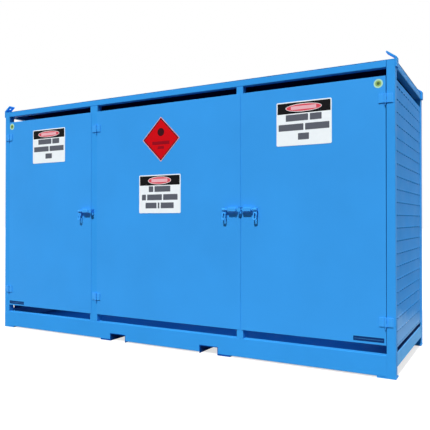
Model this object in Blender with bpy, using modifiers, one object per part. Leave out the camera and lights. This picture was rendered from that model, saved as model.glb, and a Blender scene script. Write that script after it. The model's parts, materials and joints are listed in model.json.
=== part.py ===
"""Gas cylinder storage cage: a relocatable steel cage with three outward opening doors.

Metres, +Z up. The origin is on the ground, at the middle of the overall box. The doors face -Y.
"""

import math

import bmesh
import bpy
from mathutils import Matrix, Vector

# Overall size, over the posts and to the top of the roof sheet
WIDTH = 3.710
DEPTH = 1.160
HEIGHT = 2.100

# Gap left between pieces that touch, and how far a cutter runs past what it cuts
GAP = 0.0003
OVERRUN = 0.010

# Sheets and sections
TUBE_WALL = 0.004
CHANNEL_WALL = 0.006
DOOR_SHEET = 0.003
WALL_SHEET = 0.0025
ROOF_SHEET = 0.003
DECK_SHEET = 0.004

# Corner posts and the plates under them
CORNER_POST_WIDTH = 0.058
POST_DEPTH = 0.058
FOOT_THICKNESS = 0.010
FOOT_WIDTH = 0.125
FOOT_DEPTH = 0.085
FOOT_PROUD = 0.002

# Posts between the doors, and the two behind them in the rear wall
POST_SPACING = 1.438
HINGE_POST_WIDTH = 0.082
CENTRE_POST_WIDTH = 0.055
REAR_POST_WIDTH = 0.055
REAR_POST_DEPTH = 0.040

# Sills, rails and the vent gaps left between them and the panels
SILL_HEIGHT = 0.142
SILL_FLANGE = 0.050
SIDE_RAIL_HEIGHT = 0.100
SIDE_RAIL_WIDTH = 0.050
TOP_RAIL_HEIGHT = 0.047
TOP_RAIL_WIDTH = 0.050
DOOR_LOWER_VENT = 0.064
DOOR_UPPER_VENT = 0.055
WALL_LOWER_VENT = 0.025
WALL_UPPER_VENT = 0.070

# Fork pockets: hat channels on a skid, through both sills
POCKET_SPACING = 0.897
POCKET_WIDTH = 0.155
POCKET_HEIGHT = 0.059
POCKET_WALL = 0.006
SKID_WIDTH = 0.105

# Floor joists and roof ribs
JOIST_SPACING = 2.600
JOIST_THICKNESS = 0.008
RIB_HEIGHT = 0.040
RIB_THICKNESS = 0.006

# Side and rear wall sheets, and the punched vents in the sides
WALL_INSET = 0.006
VENT_PITCH = 0.0861
VENT_LENGTH = 0.044
VENT_HEIGHT = 0.010
VENT_MARGIN = 0.030
VENT_DROP = 0.0120

# Lifting lugs: flat bars welded outside the corners and bent in over the roof
LUG_WIDTH = 0.062
LUG_THICKNESS = 0.010
LUG_OVER_ROOF = 0.012
LUG_REACH = 0.080
LUG_LEAN = math.radians(54)
LUG_HOLE_RADIUS = 0.011
LUG_HOLE_FROM_TIP = 0.034

# Doors: the slot beside a corner post, how far the sheets lap the other posts, and the frame
# behind each sheet
CORNER_SLOT = 0.0022
HINGE_LAP = 0.0015
FREE_LAP = 0.015
MEETING_OFFSET = 0.011
MEETING_SEAM = 0.007
FRAME_DEPTH = 0.030
FRAME_WALL = 0.003
FRAME_FLANGE = 0.040
FRAME_CLEARANCE = 0.008
CORNER_FRAME_CLEARANCE = 0.0035
FRAME_RAIL = 0.060
FRAME_BAYS = 3
FRAME_MARGIN = 0.006

# Hinges: three knuckles on a pin that is fixed in the post leaf, placed from the door's ends
HINGE_HEIGHT = 0.061
HINGE_FROM_TOP = 0.150
HINGE_FROM_BOTTOM = 0.1537
HINGE_SETBACK = 0.0035
CORNER_HINGE_INSET = 0.0023
KNUCKLE_RADIUS = 0.008
KNUCKLE_LENGTH = 0.020
KNUCKLE_CLEARANCE = 0.0007
LEAF_THICKNESS = 0.006
DOOR_LEAF_WIDTH = 0.034
POST_LEAF_WIDTH = 0.040
PIN_RADIUS = 0.004
PIN_CLEARANCE = 0.0003
PIN_TAIL = 0.017
PIN_HEAD_RADIUS = 0.0055
PIN_HEAD = 0.003
LEAF_EDGE_CLEARANCE = 0.0005

# Keepers: bent straps welded on the posts, each bored for the bolts
KEEPER_WIDTH = 0.028
KEEPER_HEIGHT = 0.030
KEEPER_REACH = 0.044
KEEPER_WALL = 0.005
KEEPER_BORE_RADIUS = 0.0092
KEEPER_CLEARANCE = 0.004

# Slide bolts: a base plate with a bored housing, a round bolt and a slotted drop pull
LATCH_LEVEL = 1.120
LATCH_PLATE = 0.003
LATCH_PLATE_LENGTH = 0.090
LATCH_PLATE_HEIGHT = 0.050
LATCH_END_GAP = 0.008
BOLT_RADIUS = 0.008
BOLT_STANDOFF = 0.020
BOLT_TIP = 0.002
HOUSING_FROM_END = 0.003
HOUSING_LENGTH = 0.071
HOUSING_HEIGHT = 0.030
HOUSING_COVER = 0.005
HOUSING_ROUND = 0.005
GUIDE_BORE_RADIUS = 0.0086
BOLT_TRAVEL = 0.018
BOLT_STOP_CLEARANCE = 0.0005
COLLAR_RADIUS = 0.011
COLLAR_LENGTH = 0.004
BOLT_HEAD_RADIUS = 0.012
BOLT_HEAD_LENGTH = 0.005
SLEEVE_LENGTH = 0.022
SLEEVE_RADIUS = 0.013
PULL_WIDTH = 0.030
PULL_NECK_WIDTH = 0.018
PULL_SHOULDER = 0.017
PULL_LENGTH = 0.080
PULL_THICKNESS = 0.005
PULL_SLOT_WIDTH = 0.014
PULL_SLOT_LENGTH = 0.040
PULL_ROUND = 0.012
PULL_LEAN = math.radians(13)

# Sign plates, with their centres placed from the door's hinge edge and from its top
SIGN_WIDTH = 0.410
SIGN_HEIGHT = 0.315
SIGN_THICKNESS = 0.0015
SIGN_ROUND = 0.010
LEFT_SIGN_FROM_HINGE = 0.5313
LEFT_SIGN_FROM_TOP = 0.2622
MIDDLE_SIGN_FROM_HINGE = 0.668
MIDDLE_SIGN_FROM_TOP = 0.7392
RIGHT_SIGN_FROM_HINGE = 0.5683
RIGHT_SIGN_FROM_TOP = 0.2632
DIAMOND_FROM_HINGE = 0.6815
DIAMOND_FROM_TOP = 0.2917
DIAMOND_SIDE = 0.260

# Facets of round pieces
ROUND_SEGMENTS = 16
PIN_SEGMENTS = 12
CORNER_STEPS = 4
KNUCKLE_STEPS = 12

# Finishes as sRGB bytes, roughness and metallic
DOOR_PAINT = ((53, 153, 235), 0.38, 0.0)
FRAME_PAINT = ((58, 146, 226), 0.40, 0.0)
WALL_PAINT = ((62, 140, 216), 0.42, 0.0)
INNER_PAINT = ((40, 112, 180), 0.50, 0.0)
LATCH_PAINT = ((56, 142, 222), 0.38, 0.0)
SIGN_WHITE = ((240, 240, 238), 0.35, 0.0)
SIGN_RED = ((214, 24, 34), 0.35, 0.0)

# Planes and levels that several pieces share
FRONT = (KEEPER_REACH - DEPTH) / 2
REAR = FRONT + DEPTH
SIDE = WIDTH / 2
CORNER_INNER = SIDE - CORNER_POST_WIDTH
SILL_BOTTOM = FOOT_THICKNESS + GAP
SILL_TOP = SILL_BOTTOM + SILL_HEIGHT
POCKET_TOP = POCKET_HEIGHT + POCKET_WALL
DECK_BOTTOM = POCKET_TOP + GAP
DECK_TOP = DECK_BOTTOM + DECK_SHEET
SIDE_RAIL_BOTTOM = DECK_TOP + GAP
SIDE_RAIL_TOP = SIDE_RAIL_BOTTOM + SIDE_RAIL_HEIGHT
ROOF_BOTTOM = HEIGHT - ROOF_SHEET
RAIL_TOP = ROOF_BOTTOM - GAP
RAIL_BOTTOM = RAIL_TOP - TOP_RAIL_HEIGHT
DOOR_BOTTOM = SILL_TOP + DOOR_LOWER_VENT
DOOR_TOP = RAIL_BOTTOM - DOOR_UPPER_VENT
WALL_BOTTOM = SIDE_RAIL_TOP + WALL_LOWER_VENT
WALL_TOP = RAIL_BOTTOM - WALL_UPPER_VENT

# Where the posts and the doors' edges lie along the front
HINGE_POST_X = -POST_SPACING / 2
CENTRE_POST_X = POST_SPACING / 2
HINGE_POST_LEFT = HINGE_POST_X - HINGE_POST_WIDTH / 2
HINGE_POST_RIGHT = HINGE_POST_X + HINGE_POST_WIDTH / 2
CENTRE_POST_LEFT = CENTRE_POST_X - CENTRE_POST_WIDTH / 2
CENTRE_POST_RIGHT = CENTRE_POST_X + CENTRE_POST_WIDTH / 2
MEETING_X = CENTRE_POST_X + MEETING_OFFSET
LEFT_DOOR_FREE_EDGE = HINGE_POST_LEFT + FREE_LAP
LEFT_KEEPER_X = LEFT_DOOR_FREE_EDGE + KEEPER_CLEARANCE + KEEPER_WIDTH / 2

# Layers in front of the posts, from the door sheet out to the bolts
SHEET_BACK = FRONT - GAP
SHEET_FRONT = SHEET_BACK - DOOR_SHEET
ON_SHEET = SHEET_FRONT - GAP
LATCH_FACE = ON_SHEET - LATCH_PLATE
BOLT_Y = LATCH_FACE - BOLT_STANDOFF
HOUSING_END = HOUSING_FROM_END + HOUSING_LENGTH
COLLAR_FROM_END = HOUSING_END + BOLT_TRAVEL + BOLT_STOP_CLEARANCE
HINGE_Y = SHEET_FRONT - KNUCKLE_CLEARANCE - KNUCKLE_RADIUS


def clear_scene():
    """Leaves an empty file, whatever was open."""
    for obj in list(bpy.data.objects):
        bpy.data.objects.remove(obj, do_unlink=True)


def new_collection(name):
    """A collection of that name in the scene."""
    collection = bpy.data.collections.new(name)
    bpy.context.scene.collection.children.link(collection)
    return collection


clear_scene()
PARTS = new_collection("gas_cylinder_cage")
HELPERS = new_collection("cutters")


def span(first, second):
    """The two values as a low and a high end."""
    return min(first, second), max(first, second)


def around(centre, length):
    """A span of this length about a centre."""
    return centre - length / 2, centre + length / 2


def linear(byte):
    """A colour byte as the linear value that a material takes."""
    share = byte / 255
    return share / 12.92 if share <= 0.04045 else ((share + 0.055) / 1.055) ** 2.4


def paint(obj, finish):
    """Gives the piece its own material."""
    colour, roughness, metallic = finish
    material = bpy.data.materials.new(f"{obj.name}_finish")
    material.use_nodes = True
    shader = material.node_tree.nodes["Principled BSDF"]
    shader.inputs["Base Color"].default_value = [linear(byte) for byte in colour] + [1]
    shader.inputs["Roughness"].default_value = roughness
    shader.inputs["Metallic"].default_value = metallic
    obj.data.materials.clear()
    obj.data.materials.append(material)
    return obj


def object_from(name, shape, place):
    """An object that holds a finished bmesh, with its origin at place."""
    mesh = bpy.data.meshes.new(name)
    shape.to_mesh(mesh)
    shape.free()
    obj = bpy.data.objects.new(name, mesh)
    obj.location = place
    PARTS.objects.link(obj)
    return obj


def box(name, x, y, z):
    """A box over three spans, with its origin at its centre."""
    low = Vector((x[0], y[0], z[0]))
    high = Vector((x[1], y[1], z[1]))
    shape = bmesh.new()
    bmesh.ops.create_cube(shape, size=1)
    bmesh.ops.scale(shape, vec=high - low, verts=shape.verts)
    return object_from(name, shape, (low + high) / 2)


TURN_TO = {
    "X": Matrix.Rotation(math.pi / 2, 4, "Y"),
    "Z": Matrix.Identity(4),
}


def cylinder(name, axis, centre, radius, length, segments=ROUND_SEGMENTS):
    """A round bar along X or Z, shaded smooth, with its origin at its centre."""
    shape = bmesh.new()
    bmesh.ops.create_cone(
        shape,
        cap_ends=True,
        segments=segments,
        radius1=radius,
        radius2=radius,
        depth=length,
        matrix=TURN_TO[axis],
    )
    obj = object_from(name, shape, centre)
    obj.data.shade_smooth()
    obj.data.set_sharp_from_angle(angle=math.radians(40))
    return obj


def arc(centre, radius, start, end, steps=CORNER_STEPS):
    """Points along a round corner, from one angle in degrees to another."""
    for step in range(steps + 1):
        angle = math.radians(start + (end - start) * step / steps)
        yield centre[0] + radius * math.cos(angle), centre[1] + radius * math.sin(angle)


def rounded_ring(x, z, radii):
    """A rectangle's outline, with its corners rounded: low left, low right, high right, high left."""
    corners = ((x[0], z[0]), (x[1], z[0]), (x[1], z[1]), (x[0], z[1]))
    inwards = ((1, 1), (-1, 1), (-1, -1), (1, -1))
    points = []
    for number, (corner, way, radius) in enumerate(zip(corners, inwards, radii)):
        centre = (corner[0] + way[0] * radius, corner[1] + way[1] * radius)
        start = 180 + 90 * number
        points += list(arc(centre, radius, start, start + 90)) if radius else [corner]
    return points


def outline(name, rings, thickness, place, standing=True):
    """A flat outline with holes, given thickness: standing in XZ, or lying in XY."""
    curve = bpy.data.curves.new(name, "CURVE")
    curve.dimensions = "2D"
    curve.fill_mode = "BOTH"
    curve.extrude = thickness / 2
    for ring in rings:
        spline = curve.splines.new("POLY")
        spline.points.add(len(ring) - 1)
        for point, (across, up) in zip(spline.points, ring):
            point.co = (across, up, 0, 1)
        spline.use_cyclic_u = True
    drawn = bpy.data.objects.new(f"{name}_outline", curve)
    drawn.location = place
    if standing:
        drawn.rotation_euler = (math.pi / 2, 0, 0)
    PARTS.objects.link(drawn)
    return mesh_from_curve(name, drawn)


def mesh_from_curve(name, drawn):
    """Turns a drawn curve into a closed mesh object, upright, with the curve's place."""
    bpy.context.view_layer.update()
    graph = bpy.context.evaluated_depsgraph_get()
    mesh = bpy.data.meshes.new_from_object(drawn.evaluated_get(graph))
    turn = drawn.matrix_world.to_3x3().to_4x4()
    place = drawn.location.copy()
    shape = bmesh.new()
    shape.from_mesh(mesh)
    bmesh.ops.transform(shape, matrix=turn, verts=shape.verts)
    bmesh.ops.remove_doubles(shape, verts=shape.verts, dist=0.00001)
    bmesh.ops.recalc_face_normals(shape, faces=shape.faces)
    bpy.data.objects.remove(drawn, do_unlink=True)
    bpy.data.meshes.remove(mesh)
    return object_from(name, shape, place)


def make_helper(obj):
    """Puts a cutter or a welded-on shape in its own collection, out of the render."""
    PARTS.objects.unlink(obj)
    HELPERS.objects.link(obj)
    obj.hide_render = True
    obj.display_type = "WIRE"


def boolean(target, other, operation):
    make_helper(other)
    modifier = target.modifiers.new(other.name, "BOOLEAN")
    modifier.operation = operation
    modifier.object = other


def cut(target, cutter):
    """Cuts one shape out of a piece."""
    boolean(target, cutter, "DIFFERENCE")


def weld(target, piece):
    """Makes a shape part of a piece, as a weld does."""
    boolean(target, piece, "UNION")


def bevel(obj, width, segments=1):
    """Rounds the edges of a piece."""
    modifier = obj.modifiers.new("rounded edges", "BEVEL")
    modifier.width = width
    modifier.segments = segments
    modifier.limit_method = "ANGLE"
    modifier.harden_normals = False


def carry(piece, carrier, carrier_place):
    """Parents a piece, placed in the world, to what carries it."""
    piece.location = piece.location - Vector(carrier_place)
    piece.parent = carrier


def tube(name, x, y, z, along, wall=TUBE_WALL):
    """A rectangular tube, open at both ends."""
    spans = {"X": x, "Y": y, "Z": z}
    piece = box(name, x, y, z)
    hollow = {
        axis: (low - OVERRUN, high + OVERRUN) if axis == along else (low + wall, high - wall)
        for axis, (low, high) in spans.items()
    }
    cut(piece, box(f"{name}_hollow", hollow["X"], hollow["Y"], hollow["Z"]))
    return piece


def corner_post(name, x_side, y_side):
    """A tube post, open at the top, on a foot plate that stands inwards along the sill."""
    x = span(x_side * SIDE, x_side * CORNER_INNER)
    face = FRONT if y_side < 0 else REAR
    y = span(face, face - y_side * POST_DEPTH)
    post = box(name, x, y, (0, RAIL_TOP))
    bore_x = (x[0] + TUBE_WALL, x[1] - TUBE_WALL)
    bore_y = (y[0] + TUBE_WALL, y[1] - TUBE_WALL)
    cut(post, box(f"{name}_bore", bore_x, bore_y, (FOOT_THICKNESS, RAIL_TOP + OVERRUN)))
    foot_x = span(x_side * (SIDE + FOOT_PROUD), x_side * (SIDE + FOOT_PROUD - FOOT_WIDTH))
    foot_y = span(face, face - y_side * FOOT_DEPTH)
    weld(post, box(f"{name}_foot", foot_x, foot_y, (0, FOOT_THICKNESS)))
    return paint(post, FRAME_PAINT)


def sill(name, face, inwards):
    """A channel on edge, its flanges inwards, let in over both fork pockets."""
    x = (-CORNER_INNER + GAP, CORNER_INNER - GAP)
    piece = box(name, x, span(face, face + inwards * SILL_FLANGE), (SILL_BOTTOM, SILL_TOP))
    throat_y = span(face + inwards * CHANNEL_WALL, face + inwards * (SILL_FLANGE + OVERRUN))
    throat_z = (SILL_BOTTOM + CHANNEL_WALL, SILL_TOP - CHANNEL_WALL)
    cut(piece, box(f"{name}_throat", (x[0] - OVERRUN, x[1] + OVERRUN), throat_y, throat_z))
    for side in (-1, 1):
        notch_x = around(side * POCKET_SPACING / 2, POCKET_WIDTH + 2 * (POCKET_WALL + GAP))
        notch_y = span(face - inwards * OVERRUN, face + inwards * (SILL_FLANGE + OVERRUN))
        notch = box(f"{name}_notch_{side}", notch_x, notch_y, (0, POCKET_TOP + GAP))
        cut(piece, notch)
    return paint(piece, FRAME_PAINT)


def fork_pocket(name, side):
    """A hat channel through both sills, on a skid along its outer leg."""
    half = POCKET_WIDTH / 2
    leg = half + POCKET_WALL
    skid = leg + SKID_WIDTH
    ring = [
        (side * skid, 0),
        (side * half, 0),
        (side * half, POCKET_HEIGHT),
        (-side * half, POCKET_HEIGHT),
        (-side * half, 0),
        (-side * leg, 0),
        (-side * leg, POCKET_TOP),
        (side * leg, POCKET_TOP),
        (side * leg, FOOT_THICKNESS),
        (side * skid, FOOT_THICKNESS),
    ]
    place = (side * POCKET_SPACING / 2, (FRONT + REAR) / 2, 0)
    return paint(outline(name, [ring], DEPTH, place), INNER_PAINT)


def floor_deck():
    """The floor sheet with two joists under it, cut out round the corner posts."""
    edge = SIDE - WALL_INSET
    y = (FRONT + CHANNEL_WALL + GAP, REAR - CHANNEL_WALL - GAP)
    deck = box("floor_deck", (-edge, edge), y, (DECK_BOTTOM, DECK_TOP))
    joist_bottom = SILL_BOTTOM + CHANNEL_WALL + GAP
    for side in (-1, 1):
        joist_x = around(side * JOIST_SPACING / 2, JOIST_THICKNESS)
        weld(deck, box(f"joist_{side}", joist_x, y, (joist_bottom, DECK_TOP - GAP)))
    for x_side in (-1, 1):
        for face, inwards in ((FRONT, 1), (REAR, -1)):
            corner_x = span(x_side * (CORNER_INNER - GAP), x_side * (SIDE + OVERRUN))
            corner_y = span(face - inwards * OVERRUN, face + inwards * (POST_DEPTH + GAP))
            corner_z = (DECK_BOTTOM - OVERRUN, DECK_TOP + OVERRUN)
            cut(deck, box(f"deck_corner_{x_side}_{inwards}", corner_x, corner_y, corner_z))
    return paint(deck, INNER_PAINT)


def roof_sheet():
    """The roof sheet, with a rib under it over each pair of middle posts."""
    roof = box("roof_sheet", (-SIDE, SIDE), (FRONT, REAR), (ROOF_BOTTOM, HEIGHT))
    rib_y = (FRONT + TOP_RAIL_WIDTH + GAP, REAR - TOP_RAIL_WIDTH - GAP)
    rib_z = (ROOF_BOTTOM - RIB_HEIGHT, HEIGHT - GAP)
    for side in (-1, 1):
        rib_x = around(side * POST_SPACING / 2, RIB_THICKNESS)
        weld(roof, box(f"roof_rib_{side}", rib_x, rib_y, rib_z))
    return paint(roof, FRAME_PAINT)


def lifting_lug(name, x_side, y_side):
    """A flat bar welded outside the corner, bent in over the roof and bored for a shackle."""
    inner = SIDE + GAP
    outer = inner + LUG_THICKNESS
    bend = HEIGHT + LUG_OVER_ROOF
    lean = Vector((-math.sin(LUG_LEAN), math.cos(LUG_LEAN)))
    square = Vector((-lean.y, lean.x))
    # Where the inner faces of the upright and the leaning part meet
    inner_bend = Vector((inner, bend - LUG_THICKNESS * math.tan(LUG_LEAN / 2)))
    outer_bend = Vector((outer, bend))
    outer_tip = outer_bend + lean * LUG_REACH
    inner_tip = outer_tip + square * LUG_THICKNESS
    ring = [
        (inner, RAIL_BOTTOM),
        (outer, RAIL_BOTTOM),
        tuple(outer_bend),
        tuple(outer_tip),
        tuple(inner_tip),
        tuple(inner_bend),
    ]
    ring = [(x_side * across, up) for across, up in ring]
    face = FRONT if y_side < 0 else REAR
    middle = face - y_side * LUG_WIDTH / 2
    lug = outline(name, [ring], LUG_WIDTH, (0, middle, 0))
    hole_centre = outer_tip - lean * LUG_HOLE_FROM_TIP + square * LUG_THICKNESS / 2
    shape = bmesh.new()
    bmesh.ops.create_cone(
        shape,
        cap_ends=True,
        segments=ROUND_SEGMENTS,
        radius1=LUG_HOLE_RADIUS,
        radius2=LUG_HOLE_RADIUS,
        depth=LUG_THICKNESS + 2 * OVERRUN,
        matrix=Matrix.Rotation(x_side * (math.pi / 2 - LUG_LEAN), 4, "Y"),
    )
    cut(lug, object_from(f"{name}_hole", shape, (x_side * hole_centre.x, middle, hole_centre.y)))
    return paint(lug, FRAME_PAINT)


def vent_count(length):
    """How many vents fit along a wall at their pitch."""
    return int((length - 2 * VENT_MARGIN) / VENT_PITCH) + 1


def side_wall(name, x_side):
    """A sheet between two corner posts, punched all over with short vents."""
    outer = x_side * (SIDE - WALL_INSET)
    x = span(outer, outer - x_side * WALL_SHEET)
    y = (FRONT + POST_DEPTH + GAP, REAR - POST_DEPTH - GAP)
    z = (WALL_BOTTOM, WALL_TOP)
    wall = box(name, x, y, z)
    columns = vent_count(y[1] - y[0])
    rows = vent_count(z[1] - z[0])
    first_y = (y[0] + y[1] - (columns - 1) * VENT_PITCH) / 2
    first_z = (z[0] + z[1] - (rows - 1) * VENT_PITCH) / 2 - VENT_DROP
    vent_x = (x[0] - OVERRUN, x[1] + OVERRUN)
    vent = box(f"{name}_vents", vent_x, around(first_y, VENT_LENGTH), around(first_z, VENT_HEIGHT))
    for count, step in ((columns, (0, VENT_PITCH, 0)), (rows, (0, 0, VENT_PITCH))):
        repeat = vent.modifiers.new("pitch", "ARRAY")
        repeat.count = count
        repeat.use_relative_offset = False
        repeat.use_constant_offset = True
        repeat.constant_offset_displace = step
    cut(wall, vent)
    return paint(wall, WALL_PAINT)


def keeper(name, x):
    """A strap bent to a square U, with a bore through both legs for the bolts."""
    half = KEEPER_WIDTH / 2
    web = half - KEEPER_WALL
    back = FRONT - GAP
    front = FRONT - KEEPER_REACH
    ring = [
        (-half, back),
        (-half, front),
        (half, front),
        (half, back),
        (web, back),
        (web, front + KEEPER_WALL),
        (-web, front + KEEPER_WALL),
        (-web, back),
    ]
    strap = outline(name, [ring], KEEPER_HEIGHT, (x, 0, LATCH_LEVEL), standing=False)
    centre = (x, BOLT_Y, LATCH_LEVEL)
    length = KEEPER_WIDTH + 2 * OVERRUN
    cut(strap, cylinder(f"{name}_bore", "X", centre, KEEPER_BORE_RADIUS, length))
    return paint(strap, LATCH_PAINT)


class Door:
    """Where one door's edges, hinge axis, inner frame and keeper lie."""

    def __init__(self, name, hinge_edge, free_edge, past_axis, frame_x, keeper_x, laps_keeper):
        self.name = name
        self.hinge_edge = hinge_edge
        self.free_edge = free_edge
        self.frame_x = frame_x
        self.keeper_x = keeper_x
        self.laps_keeper = laps_keeper
        self.side = 1 if free_edge > hinge_edge else -1
        self.past_axis = past_axis
        self.axis_x = hinge_edge + self.side * past_axis
        self.latch_end = keeper_x - self.side * (KEEPER_WIDTH / 2 + LATCH_END_GAP)
        self.pivot_place = (self.axis_x, HINGE_Y, (DOOR_BOTTOM + DOOR_TOP) / 2)
        self.pivot = bpy.data.objects.new(f"{name}_door_pivot", None)
        self.pivot.location = self.pivot_place
        PARTS.objects.link(self.pivot)

    def from_end(self, start, end):
        """A span along the latch, measured back from its end at the keeper."""
        return span(self.latch_end - self.side * start, self.latch_end - self.side * end)

    def hang(self, piece):
        """Makes a piece swing with the door."""
        carry(piece, self.pivot, self.pivot_place)


def door_sheet(door):
    """The outer sheet, let in round the keeper where it stands between two doors."""
    x = span(door.hinge_edge, door.free_edge)
    sheet = box(f"{door.name}_door_sheet", x, (SHEET_FRONT, SHEET_BACK), (DOOR_BOTTOM, DOOR_TOP))
    if door.laps_keeper:
        notch_x = around(door.keeper_x, KEEPER_WIDTH + 2 * KEEPER_CLEARANCE)
        notch_y = (SHEET_FRONT - OVERRUN, SHEET_BACK + OVERRUN)
        notch_z = around(LATCH_LEVEL, KEEPER_HEIGHT + 2 * KEEPER_CLEARANCE)
        cut(sheet, box(f"{door.name}_door_notch", notch_x, notch_y, notch_z))
    door.hang(sheet)
    return paint(sheet, DOOR_PAINT)


def door_frame(door):
    """The folded frame behind the sheet: a wall all round, a flange, and rails between its bays."""
    x = door.frame_x
    y = (FRONT, FRONT + FRAME_DEPTH)
    z = (DOOR_BOTTOM + FRAME_MARGIN, DOOR_TOP - FRAME_MARGIN)
    frame = box(f"{door.name}_door_frame", x, y, z)
    inside_x = (x[0] + FRAME_WALL, x[1] - FRAME_WALL)
    inside_z = (z[0] + FRAME_WALL, z[1] - FRAME_WALL)
    inside_y = (y[0] - OVERRUN, y[1] - FRAME_WALL)
    cut(frame, box(f"{door.name}_frame_inside", inside_x, inside_y, inside_z))
    window_x = (x[0] + FRAME_FLANGE, x[1] - FRAME_FLANGE)
    clear_height = z[1] - z[0] - 2 * FRAME_FLANGE
    bay_height = (clear_height - (FRAME_BAYS - 1) * FRAME_RAIL) / FRAME_BAYS
    for bay in range(FRAME_BAYS):
        low = z[0] + FRAME_FLANGE + bay * (bay_height + FRAME_RAIL)
        window_y = (y[0] - OVERRUN, y[1] + OVERRUN)
        window = box(f"{door.name}_window_{bay}", window_x, window_y, (low, low + bay_height))
        cut(frame, window)
    door.hang(frame)
    return paint(frame, INNER_PAINT)


def hinge_leaf(name, door, way, width, back, level):
    """A leaf rolled round the pin's line over the hinge's full height; way is 1 on the door.

    Where the door's sheet reaches past the pin's line, the post leaf is stepped over its edge.
    """
    far = KNUCKLE_RADIUS + LEAF_EDGE_CLEARANCE + width
    depth = back - HINGE_Y
    barrel = arc((0, 0), KNUCKLE_RADIUS, 90, 360, KNUCKLE_STEPS)
    inner = depth - LEAF_THICKNESS
    start = [(0, depth)]
    if way < 0 < door.past_axis:
        step = door.past_axis + LEAF_EDGE_CLEARANCE
        start = [(step, depth), (step, ON_SHEET - HINGE_Y), (0, ON_SHEET - HINGE_Y)]
    ring = [(far, depth), *start, *barrel, (KNUCKLE_RADIUS, inner), (far, inner)]
    toward = door.side * way
    ring = [(toward * across, deep) for across, deep in ring]
    place = (door.axis_x, HINGE_Y, level)
    return outline(name, [ring], HINGE_HEIGHT, place, standing=False)


def notch_leaf(leaf, label, door, way, back, z):
    """Cuts the barrel off a leaf over a height, where the other leaf's knuckle turns."""
    toward = door.side * way
    reach = KNUCKLE_RADIUS + OVERRUN
    near = KNUCKLE_RADIUS + LEAF_EDGE_CLEARANCE
    x = span(door.axis_x - toward * reach, door.axis_x + toward * near)
    cut(leaf, box(f"{leaf.name}_{label}", x, (HINGE_Y - reach, back + OVERRUN), z))


def hinge(door, place, level):
    """A door leaf with one bored knuckle, and a post leaf with two and the fixed pin."""
    low = level - HINGE_HEIGHT / 2
    high = level + HINGE_HEIGHT / 2
    lower_end = low + KNUCKLE_LENGTH
    upper_end = high - KNUCKLE_LENGTH
    axis = (door.axis_x, HINGE_Y)

    name = f"{door.name}_door_{place}_leaf"
    leaf = hinge_leaf(name, door, 1, DOOR_LEAF_WIDTH, ON_SHEET, level)
    notches = (
        ("lower_notch", (low - OVERRUN, lower_end + LEAF_EDGE_CLEARANCE)),
        ("upper_notch", (upper_end - LEAF_EDGE_CLEARANCE, high + OVERRUN)),
    )
    for label, z in notches:
        notch_leaf(leaf, label, door, 1, ON_SHEET, z)
    bore_radius = PIN_RADIUS + PIN_CLEARANCE
    bore = cylinder(f"{name}_bore", "Z", (*axis, level), bore_radius, HINGE_HEIGHT, PIN_SEGMENTS)
    cut(leaf, bore)
    door.hang(leaf)
    paint(leaf, LATCH_PAINT)

    name = f"{door.name}_post_{place}_leaf"
    leaf = hinge_leaf(name, door, -1, POST_LEAF_WIDTH, FRONT - GAP, level)
    notch_leaf(leaf, "notch", door, -1, FRONT - GAP, (lower_end, upper_end))
    for label, radius, z in (
        ("pin", PIN_RADIUS, (low - PIN_TAIL, high + PIN_HEAD / 2)),
        ("head", PIN_HEAD_RADIUS, (high - PIN_HEAD, high + PIN_HEAD)),
    ):
        centre = (*axis, (z[0] + z[1]) / 2)
        weld(leaf, cylinder(f"{name}_{label}", "Z", centre, radius, z[1] - z[0], PIN_SEGMENTS))
    paint(leaf, LATCH_PAINT)


def latch_guide(door):
    """The latch's base plate, with the bored housing that the bolt slides in."""
    name = f"{door.name}_latch_guide"
    plate_x = door.from_end(0, LATCH_PLATE_LENGTH)
    plate = box(name, plate_x, (LATCH_FACE, ON_SHEET), around(LATCH_LEVEL, LATCH_PLATE_HEIGHT))
    x = door.from_end(HOUSING_FROM_END, HOUSING_END)
    y = (BOLT_Y - BOLT_RADIUS - HOUSING_COVER, ON_SHEET - GAP)
    housing = box(f"{name}_housing", x, y, around(LATCH_LEVEL, HOUSING_HEIGHT))
    bevel(housing, HOUSING_ROUND, 3)
    weld(plate, housing)
    centre = ((plate_x[0] + plate_x[1]) / 2, BOLT_Y, LATCH_LEVEL)
    length = LATCH_PLATE_LENGTH + 2 * OVERRUN
    cut(plate, cylinder(f"{name}_bore", "X", centre, GUIDE_BORE_RADIUS, length))
    door.hang(plate)
    return paint(plate, LATCH_PAINT)


def bolt(door):
    """The round bolt, drawn back, with a collar and a head that hold the pull between them."""
    sleeve_start = COLLAR_FROM_END + COLLAR_LENGTH + GAP
    head_start = sleeve_start + SLEEVE_LENGTH + GAP
    tail = head_start + BOLT_HEAD_LENGTH
    x = door.from_end(-BOLT_TIP, tail)
    centre = Vector(((x[0] + x[1]) / 2, BOLT_Y, LATCH_LEVEL))
    name = f"{door.name}_bolt"
    rod = cylinder(name, "X", centre, BOLT_RADIUS, x[1] - x[0])
    rings = (
        ("collar", COLLAR_FROM_END, COLLAR_LENGTH, COLLAR_RADIUS),
        ("head", head_start, BOLT_HEAD_LENGTH, BOLT_HEAD_RADIUS),
    )
    for part, start, length, radius in rings:
        ring_x = door.from_end(start, start + length)
        ring_centre = ((ring_x[0] + ring_x[1]) / 2, BOLT_Y, LATCH_LEVEL)
        weld(rod, cylinder(f"{name}_{part}", "X", ring_centre, radius, length))
    door.hang(rod)
    paint(rod, LATCH_PAINT)
    return rod, centre, sleeve_start


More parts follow.
